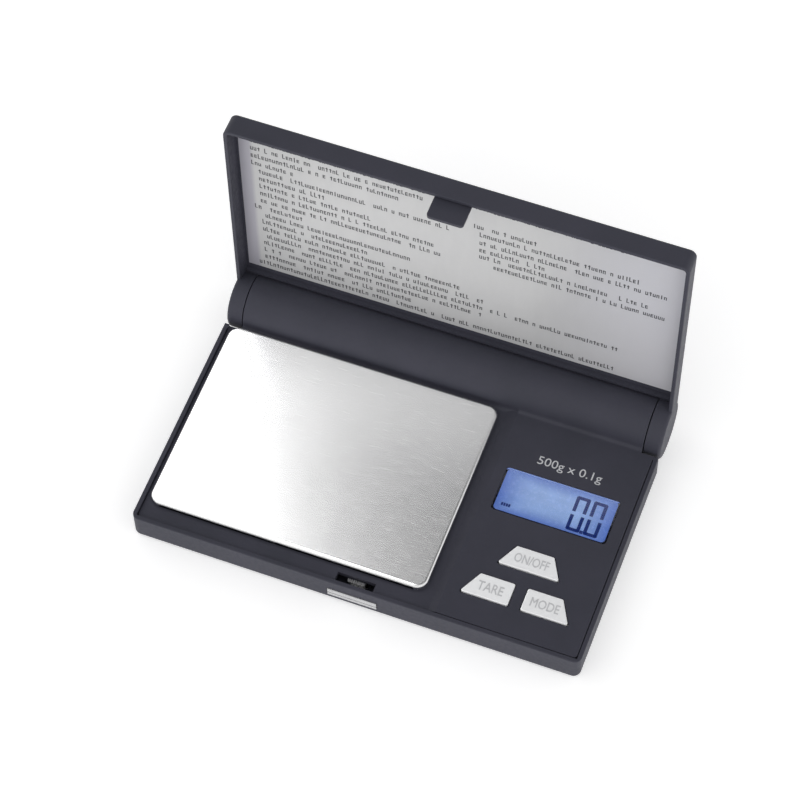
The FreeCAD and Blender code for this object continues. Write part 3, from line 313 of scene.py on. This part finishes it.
def print_marks():
    """Rows of small marks: stems, combs, hoops and ticks, with gaps between words."""
    pattern = Pattern("label_print", pitch=1.05 * MM, height=2.05 * MM, ink=0.02 * MM, space_share=0.15, seed=4,
                      finish=dark_ink("label_ink", (0.045, 0.045, 0.05), 0.5))
    given = pattern.given
    rows = pattern.add("GeometryNodeMeshToCurve", {"Mesh": given["layout"]})
    points = pattern.add("GeometryNodeResampleCurve", {"Curve": rows, "Length": given["pitch"]}, mode="LENGTH")
    # a bar is its middle, x and y, and its width and height, all as shares of a mark
    left_stem, right_stem, foot = (-0.26, -0.08, 0.26, 0.72), (0.26, -0.08, 0.26, 0.72), (0.0, -0.36, 0.7, 0.17)
    marks = (
        ((0.0, 0.0, 0.3, 1.0),),
        (left_stem, right_stem, (0.0, 0.2, 0.6, 0.17)),
        (left_stem, right_stem, foot),
        ((-0.26, 0.06, 0.28, 1.0), foot),
        ((0.05, 0.02, 0.3, 0.9), (0.0, 0.22, 0.7, 0.17)),
        (left_stem, foot, (0.05, -0.06, 0.56, 0.15), (0.05, 0.22, 0.6, 0.15)),
    )
    kinds = []
    for parts in marks:
        bars = []
        for x, y, wide, tall in parts:
            bar = pattern.add("GeometryNodeMeshCube", {"Size": (wide, tall, 1.0)})
            bars.append(pattern.add("GeometryNodeTransform", {"Geometry": bar, "Translation": (x, y, 0.0)}))
        join = pattern.tree.nodes.new("GeometryNodeJoinGeometry")
        for bar in bars:
            pattern.tree.links.new(bar, join.inputs[0])
        kinds.append(pattern.add("GeometryNodeGeometryToInstance", {"Geometry": join.outputs[0]}))
    shelf = pattern.tree.nodes.new("GeometryNodeJoinGeometry")
    for kind in kinds:
        pattern.tree.links.new(kind, shelf.inputs[0])
    share = pattern.sum(1.0, given["space_share"], "SUBTRACT")
    inked = pattern.add("FunctionNodeRandomValue", {"Probability": share, "Seed": given["seed"]}, out="Value",
                        data_type="BOOLEAN")
    which = pattern.add("FunctionNodeRandomValue", {"Min": 0, "Max": len(kinds) - 1, "Seed": given["seed"]},
                        out="Value", data_type="INT")
    tall = pattern.add("FunctionNodeRandomValue", {"Min": 0.9, "Max": 1.06, "Seed": given["seed"]}, out="Value",
                       data_type="FLOAT")
    scale = pattern.size(given["pitch"], pattern.sum(given["height"], tall, "MULTIPLY"), given["ink"])
    pattern.close(pattern.add("GeometryNodeInstanceOnPoints", {
        "Points": points, "Selection": inked, "Instance": shelf.outputs[0], "Pick Instance": True,
        "Instance Index": which, "Scale": scale}))
    return pattern


def lid_face():
    """From flat work, x to the right and y up, to the open label's printed face: its lower left corner."""
    corner = Vector(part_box("lid_label")[0])
    hinge = next(j for j in frame["record"]["behaviour"]["joints"] if j["name"] == "lid_hinge")
    tilt = math.radians(hinge["range_deg"][1] - 90.0)
    turn = Matrix.Rotation(math.radians(90) - tilt, 4, "X")
    return Matrix.Translation(corner) @ turn


ROW_PITCH = 3.37
LOWEST_ROW, LOWEST_UP = 19, 2.6     # its number from the top, and its middle above the label's edge
label_wide = (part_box("lid_label")[1][0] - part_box("lid_label")[0][0]) / MM
# (row from the top, start and end as shares of the width)
label_rows = [
    (1, 0.03, 0.33), (2, 0.03, 0.42), (2, 0.53, 0.875), (3, 0.03, 0.415), (3, 0.5, 0.52), (4, 0.03, 0.36),
    (5, 0.03, 0.12), (6, 0.045, 0.475), (7, 0.045, 0.19), (8, 0.045, 0.295), (9, 0.045, 0.44),
    (10, 0.045, 0.455), (11, 0.03, 0.135), (12, 0.045, 0.385), (13, 0.045, 0.285), (14, 0.045, 0.5),
    (15, 0.045, 0.58), (16, 0.045, 0.865), (17, 0.045, 0.56), (18, 0.045, 0.395), (19, 0.03, 0.86),
    (4.6, 0.535, 0.67), (5.6, 0.55, 0.915), (6.7, 0.55, 0.96), (7.7, 0.55, 0.69), (8.6, 0.55, 0.93),
    (9.6, 0.55, 0.96),
]


def row_height(row):
    return LOWEST_UP + (LOWEST_ROW - row) * ROW_PITCH


runs = [((a * label_wide, row_height(row)), (b * label_wide, row_height(row))) for row, a, b in label_rows]
printed = print_marks().lay(layout_mesh("label_rows", runs), lid_face())
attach(printed, "lid")


# ---- Weighing pan -------------------------------------------------------------------------------------------
# A pan drawn from 0.6 mm stainless sheet, with its edges turned down all round. It is brushed along its length
# before drawing, so that the grain runs straight across the top and the rolled edge is brighter.
def brushed_steel():
    finish = Finish("brushed_steel", (0.81, 0.81, 0.81), 0.26, 1.0, Anisotropic=0.8)
    finish.set(Tangent=finish.add("ShaderNodeCombineXYZ", {"X": 0.0, "Y": 1.0, "Z": 0.0}))
    hair = finish.noise(8.0, (0.02, 1.0, 0.3), detail=3.0, coarse=0.6)
    finish.set(Base_Color=finish.mix(finish.span(hair, 0, 1), (0.77, 0.77, 0.775), (0.84, 0.84, 0.84)))
    finish.set(Roughness=finish.span(hair, 0.245, 0.275))
    return finish.material


finish_nodes(brushed_steel(), "weighing_pan")


# ---- Pan support and load cell ------------------------------------------------------------------------------
# Under the pan, a moulded frame is screwed to the free end of an aluminium bar, whose other end is screwed to
# the case. The bar is milled, and its strain gauges are under white sealant.
def milled_aluminium():
    finish = Finish("milled_aluminium", (0.78, 0.79, 0.80), 0.32, 1.0)
    cut = finish.noise(3.0, (0.1, 1.0, 1.0), detail=3.0)
    finish.set(Roughness=finish.span(cut, 0.26, 0.42))
    finish.mottle((0.74, 0.75, 0.76), (0.82, 0.82, 0.83), 0.3)
    finish.bump(cut, 0.006)
    return finish.material


def matt_finish(name, colour, other, rough, per_mm=0.5, deep_mm=0.01, metal=0.0, **constants):
    """A mottled finish with a fine grain, for plain mouldings, rubber and resin."""
    finish = Finish(name, colour, rough, metal, **constants)
    finish.mottle(colour, other, per_mm)
    finish.set(Roughness=finish.span(finish.noise(2.0), rough - 0.05, rough + 0.07))
    finish.bump(finish.noise(5.0, detail=3.0), deep_mm)
    return finish.material


finish_nodes(case_finish, "pan_support")
finish_nodes(milled_aluminium(), "load_cell")
sealant = matt_finish("white_sealant", (0.74, 0.73, 0.70), (0.80, 0.80, 0.78), 0.45, per_mm=0.4, deep_mm=0.1)
finish_nodes(sealant, "gauge_covers")


# ---- Display ------------------------------------------------------------------------------------------------
# A liquid crystal glass in a white frame, lit from behind in blue and joined to the board by two rubber zebra
# strips. An acrylic pane closes the window over it. It reads zero, with a row of small marks at its left.
LIT_LOW, LIT_HIGH, LIT_R = (27.3, -5.3), (60.1, 8.5), 1.2     # lit rectangle's corners, and their radius; inside the window at its left and bottom, the dark margin past them is painted shadow of the window's rim
LIT_FADE = (10.0, 4.0)        # how far in the deeper blue reaches, along and across


def blue_display():
    """The lit glass: pale in the middle and deeper blue at its edges, inside a dark border that is partly the
    glass's unlit edge and partly painted shadow of the window's rim.
    """
    middle = [(low + high) / 2 for low, high in zip(LIT_LOW, LIT_HIGH)]
    half = [(high - low) / 2 for low, high in zip(LIT_LOW, LIT_HIGH)]
    finish = Finish("blue_display", (0.10, 0.16, 0.38), 0.25)

    def vector(operation, *given, out="Vector"):
        return finish.add("ShaderNodeVectorMath", dict(enumerate(given)), out=out, operation=operation)

    away = vector("ABSOLUTE", finish.place(stretch=(1, 1, 0), shift=(-middle[0], -middle[1], 0)))
    round_middle = (half[0] - LIT_R, half[1] - LIT_R, 0.0)
    past_round = vector("MAXIMUM", vector("SUBTRACT", away, round_middle), (0.0, 0.0, 0.0))
    # dark outside the lit rectangle: the glass's unlit edge, and where it shows inside the window, a painted
    # shadow of the window's rim
    unlit_edge_and_shade = finish.span(vector("LENGTH", past_round, out="Value"), 0.0, 1.0, LIT_R - 0.12, LIT_R)
    sides = finish.add("ShaderNodeSeparateXYZ", {"Vector": away}, out="X").node.outputs
    fades = [finish.span(sides[axis], 0.0, 1.0, side - fade, side)
             for axis, side, fade in zip("XY", half, LIT_FADE)]
    edge = finish.add("ShaderNodeMath", {0: fades[0], 1: fades[1]}, operation="MAXIMUM")
    glow = finish.mix(finish.add("ShaderNodeMath", {0: edge, 1: 1.3}, operation="POWER"),
                      (0.22, 0.32, 0.515), (0.05, 0.10, 0.33))
    finish.set(Base_Color=finish.mix(unlit_edge_and_shade, (0.10, 0.16, 0.38), (0.006, 0.007, 0.016)))
    cloud = finish.span(finish.noise(0.25), 0.92, 1.08)
    finish.set(Emission_Color=finish.mix(unlit_edge_and_shade, glow, (0.0, 0.0, 0.0)), Emission_Strength=cloud)
    finish.set(Roughness=finish.span(finish.noise(1.0), 0.2, 0.3))
    return finish.material


def clear_acrylic():
    finish = Finish("clear_acrylic", (0.97, 0.98, 1.0), 0.03, IOR=1.49, Transmission_Weight=1.0)
    finish.set(Roughness=finish.span(finish.noise(0.3), 0.015, 0.05))
    return finish.material


finish_nodes(blue_display(), "display_glass")
finish_nodes(clear_acrylic(), "display_window")
finish_nodes(matt_finish("backlight_white", (0.80, 0.84, 0.92), (0.84, 0.87, 0.94), 0.4), "display_backlight")
finish_nodes(matt_finish("frame_white", (0.75, 0.75, 0.73), (0.80, 0.80, 0.78), 0.45), "display_frame")
finish_nodes(matt_finish("zebra_rubber", (0.06, 0.06, 0.065), (0.13, 0.13, 0.14), 0.7), "zebra_strips")


def display_segments():
    """One flat bar along each edge of the layout, which runs a little past both its ends."""
    lit = Finish("display_ink", (0.004, 0.012, 0.07), 0.35)
    lit.mottle((0.004, 0.012, 0.07), (0.006, 0.016, 0.09), 2.0)
    lit.set(Emission_Color=(0.008, 0.030, 0.20), Emission_Strength=0.5)
    pattern = Pattern("display_segments", width=1.0 * MM, past=0.5 * MM, ink=0.03 * MM, finish=lit.material)
    given = pattern.given
    ends = pattern.tree.nodes.new("GeometryNodeInputMeshEdgeVertices").outputs
    along = pattern.add("ShaderNodeVectorMath", {0: ends["Position 2"], 1: ends["Position 1"]}, out="Vector",
                        operation="SUBTRACT")
    keep = pattern.tree.nodes.new("GeometryNodeCaptureAttribute")
    keep.domain = "EDGE"
    keep.capture_items.new("VECTOR", "along")
    pattern.tree.links.new(given["layout"], keep.inputs["Geometry"])
    pattern.tree.links.new(along, keep.inputs["along"])
    points = pattern.add("GeometryNodeMeshToPoints", {"Mesh": keep.outputs["Geometry"]}, mode="EDGES")
    length = pattern.add("ShaderNodeVectorMath", {0: keep.outputs["along"]}, out="Value", operation="LENGTH")
    turn = pattern.add("FunctionNodeAlignRotationToVector", {"Vector": keep.outputs["along"]}, axis="X")
    bar = pattern.add("GeometryNodeMeshCube", {"Size": (1.0, 1.0, 1.0)})
    scale = pattern.size(pattern.sum(length, given["past"]), given["width"], given["ink"])
    pattern.close(pattern.add("GeometryNodeInstanceOnPoints", {
        "Points": points, "Instance": bar, "Rotation": turn, "Scale": scale}))
    return pattern


MIDDLE_GAP = 0.8          # from the digit's waist to the centre line's ends


def nought(left, right, low, high):
    """The six outer segments of a seven-segment digit."""
    under, over = (low + high) / 2 - MIDDLE_GAP, (low + high) / 2 + MIDDLE_GAP
    return [((left, low), (right, low)), ((left, high), (right, high)),
            ((left, low), (left, under)), ((left, over), (left, high)),
            ((right, low), (right, under)), ((right, over), (right, high))]


DIGITS = ((48.95, 52.0), (54.0, 57.1))
DIGIT_Y = (-4.1, 6.2)
POINT_X = (52.8, 53.2)
SIGNS_X, SIGNS_Y = (29.4, 30.1, 30.8, 31.5), -3.0
segments = [run for left, right in DIGITS for run in nought(left, right, *DIGIT_Y)]
segments += [((POINT_X[0], DIGIT_Y[0]), (POINT_X[1], DIGIT_Y[0]))]
segments += [((x, SIGNS_Y), (x + 0.05, SIGNS_Y)) for x in SIGNS_X]
on_glass = Matrix.Translation((0, 0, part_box("display_glass")[1][2] + 0.02 * MM))
reading = display_segments().lay(layout_mesh("reading", segments), on_glass)
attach(reading, "base")


# ---- Panel print --------------------------------------------------------------------------------------------
# The capacity and the step are pad-printed on the deck above the window, in pale grey. They are only numbers
# and the unit.
CAPACITY_WIDE, CAPACITY_TALL, CAPACITY_Y = 18.9, 3.5, 12.9
PRINT_THICK = 0.03


def lettering(name, words, wide, tall, thick, place, material, soft=0.0):
    """Raised or printed characters, sized to a width and height in millimetres and centred on place."""
    curve = bpy.data.curves.new(name, "FONT")
    curve.body = words
    curve.resolution_u = 4
    curve.extrude = 0.02
    curve.bevel_depth = soft
    curve.bevel_resolution = 1
    writing = new_piece(name, curve)
    mesh = bpy.data.meshes.new_from_object(writing.evaluated_get(bpy.context.evaluated_depsgraph_get()))
    bpy.data.objects.remove(writing)
    low = Vector([min(v.co[n] for v in mesh.vertices) for n in range(3)])
    high = Vector([max(v.co[n] for v in mesh.vertices) for n in range(3)])
    size = [wide * MM / (high.x - low.x), tall * MM / (high.y - low.y), thick * MM / (high.z - low.z)]
    fit = Matrix.Diagonal((*size, 1.0)) @ Matrix.Translation(-(low + high) / 2)
    mesh.transform(Matrix.Translation([v * MM for v in place]) @ fit)
    mesh.materials.clear()
    mesh.materials.append(material)
    return new_piece(name, mesh)


window_low, window_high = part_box("display_window")
panel_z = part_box("bottom_case")[1][2] / MM
panel_x = (window_low[0] + window_high[0]) / 2 / MM
pale_print = matt_finish("pale_print", (0.55, 0.56, 0.58), (0.66, 0.66, 0.68), 0.5, 2.0)
capacity = lettering("capacity_print", "500g x 0.1g", CAPACITY_WIDE, CAPACITY_TALL, PRINT_THICK,
                     (panel_x, CAPACITY_Y, panel_z), pale_print)
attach(capacity, "base")


# ---- Keys ---------------------------------------------------------------------------------------------------
# Three hard keys in silver-painted ABS, with their functions raised on them. A lip holds each one under the
# deck, and its stem stands on a tact switch on the board.
LEGEND_TALL, LEGEND_THICK, LEGEND_SOFT = 2.9, 0.08, 0.012


def silver_paint():
    finish = Finish("silver_paint", (0.94, 0.945, 0.96), 0.36, 0.1, Specular_IOR_Level=0.5)
    flake = finish.noise(9.0, detail=2.0)
    finish.set(Base_Color=finish.mix(finish.span(flake, 0, 1), (0.91, 0.915, 0.93), (0.96, 0.965, 0.975)))
    finish.set(Roughness=finish.span(finish.noise(1.2), 0.32, 0.44))
    finish.bump(flake, 0.006)
    return finish.material


key_finish = silver_paint()
# The raised legends are in the keys' own silver paint; their darker grey is painted shade, standing in for the
# shading at their raised edges.
shaded_legend_finish = matt_finish("legend_silver", (0.62, 0.625, 0.64), (0.70, 0.705, 0.72), 0.38, 2.0, metal=0.1)
# (key, its words, their width, and how far they stand to the right of its middle)
for key, words, wide, aside in (
        ("power", "ON/OFF", 10.0, 0.0), ("tare", "TARE", 7.4, 0.9), ("mode", "MODE", 8.3, -0.9)):
    low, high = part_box(key + "_key")
    finish_nodes(key_finish, key + "_key")
    plunger_black = matt_finish(key + "_plunger_black", (0.02, 0.02, 0.02), (0.03, 0.03, 0.03), 0.4)
    finish_nodes(plunger_black, key + "_plunger")
    middle = ((low[0] + high[0]) / 2 / MM + aside, (low[1] + high[1]) / 2 / MM - 0.1, high[2] / MM + 0.02)
    legend = lettering(key + "_legend", words, wide, LEGEND_TALL, LEGEND_THICK, middle, shaded_legend_finish,
                       LEGEND_SOFT)
    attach(legend, key)


# ---- Board --------------------------------------------------------------------------------------------------
# A one-sided circuit board under the panel, with green solder mask over its tracks. It carries the display, the
# three tact switches and, on its back, the bare chip under a drop of black resin.
def green_board():
    finish = Finish("green_board", (0.02, 0.16, 0.06), 0.3, Coat_Weight=0.4, Coat_Roughness=0.15)
    inputs = {"Vector": finish.place((0.35, 1.0, 1.0)), "Scale": 0.45, "Randomness": 0.6}
    cell = finish.add("ShaderNodeTexVoronoi", inputs, out="Distance", feature="DISTANCE_TO_EDGE")
    track = finish.span(cell, 1.0, 0.0, 0.06, 0.08)
    finish.set(Base_Color=finish.mix(track, (0.012, 0.13, 0.045), (0.03, 0.24, 0.10)))
    finish.bump(track, 0.03)
    return finish.material


finish_nodes(green_board(), "circuit_board")
chip_resin = matt_finish("chip_resin", (0.008, 0.008, 0.008), (0.014, 0.014, 0.014), 0.2, 0.3, 0.05)
finish_nodes(chip_resin, "chip_cover")
finish_nodes(matt_finish("switch_black", (0.02, 0.02, 0.021), (0.03, 0.03, 0.03), 0.5), "key_switches")


# ---- Latch --------------------------------------------------------------------------------------------------
# A bright plated button in the front wall pushes a bent leaf of spring steel, whose nose holds the lid's hook
# and shows in the slot behind the wall.
def bright_plating():
    finish = Finish("bright_plating", (0.56, 0.56, 0.57), 0.22, 0.75)
    finish.set(Roughness=finish.span(finish.noise(0.8), 0.18, 0.3))
    finish.mottle((0.53, 0.53, 0.54), (0.59, 0.59, 0.60), 0.5)
    return finish.material


def drawn_steel(name, pale, dark, rough):
    """Bright steel with faint drawing lines."""
    finish = Finish(name, pale, rough, 1.0)
    line = finish.noise(4.0, (1.0, 0.15, 0.15), detail=3.0)
    finish.set(Base_Color=finish.mix(finish.span(line, 0, 1), pale, dark))
    finish.set(Roughness=finish.span(line, rough - 0.05, rough + 0.1))
    finish.bump(line, 0.004)
    return finish.material


spring_finish = drawn_steel("spring_steel", (0.80, 0.80, 0.81), (0.66, 0.66, 0.68), 0.26)
finish_nodes(bright_plating(), "release_button")
finish_nodes(spring_finish, "latch_spring")


# ---- Battery bay --------------------------------------------------------------------------------------------
# Two AAA cells lie in line in the barrel, between a plated contact and a coil spring. Two red leads run from
# the contacts to the board, and a grey cable runs there from the load cell.
def battery_jacket(name):
    """A plain grey-blue shrink sleeve, which leaves the steel can uncovered at the nub's end."""
    finish = Finish(name + "_jacket", (0.06, 0.08, 0.12), 0.28, Coat_Weight=0.5, Coat_Roughness=0.1)
    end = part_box(name)[1][0] / MM
    bare_can_and_painted_shade = finish.span(finish.add("ShaderNodeSeparateXYZ", {"Vector": finish.place()}, out="X"),
                       0.0, 1.0, end - 2.4, end - 2.3)
    sleeve = finish.mix(finish.noise(0.2), (0.05, 0.07, 0.11), (0.07, 0.09, 0.14))
    finish.set(Base_Color=finish.mix(bare_can_and_painted_shade, sleeve, (0.72, 0.72, 0.73)), Metallic=bare_can_and_painted_shade)
    finish.set(Roughness=finish.span(finish.noise(1.0), 0.22, 0.36))
    return finish.material


for cell in ("battery_1", "battery_2"):
    finish_nodes(battery_jacket(cell), cell)
finish_nodes(spring_finish, "battery_spring", "contact_plates")
finish_nodes(matt_finish("lead_red", (0.45, 0.02, 0.015), (0.55, 0.03, 0.02), 0.35), "battery_leads")
finish_nodes(matt_finish("cable_grey", (0.30, 0.30, 0.31), (0.36, 0.36, 0.37), 0.4), "sensor_cable")


# ---- Fixings ------------------------------------------------------------------------------------------------
# Zinc-plated cross-recess screws close the case and hold the board and the load cell. Ground steel pins carry
# the lid's ears in the barrel, and four rubber feet are stuck in recesses under the case.
screw_finish = drawn_steel("zinc_plated", (0.62, 0.63, 0.65), (0.48, 0.49, 0.50), 0.3)
finish_nodes(screw_finish, "case_screws", "board_screws", "cell_fixed_screws", "cell_free_screws")
finish_nodes(spring_finish, "hinge_pins")
foot_rubber = matt_finish("foot_rubber", (0.012, 0.012, 0.012), (0.02, 0.02, 0.02), 0.75, 1.0, 0.06)
finish_nodes(foot_rubber, "rubber_feet")
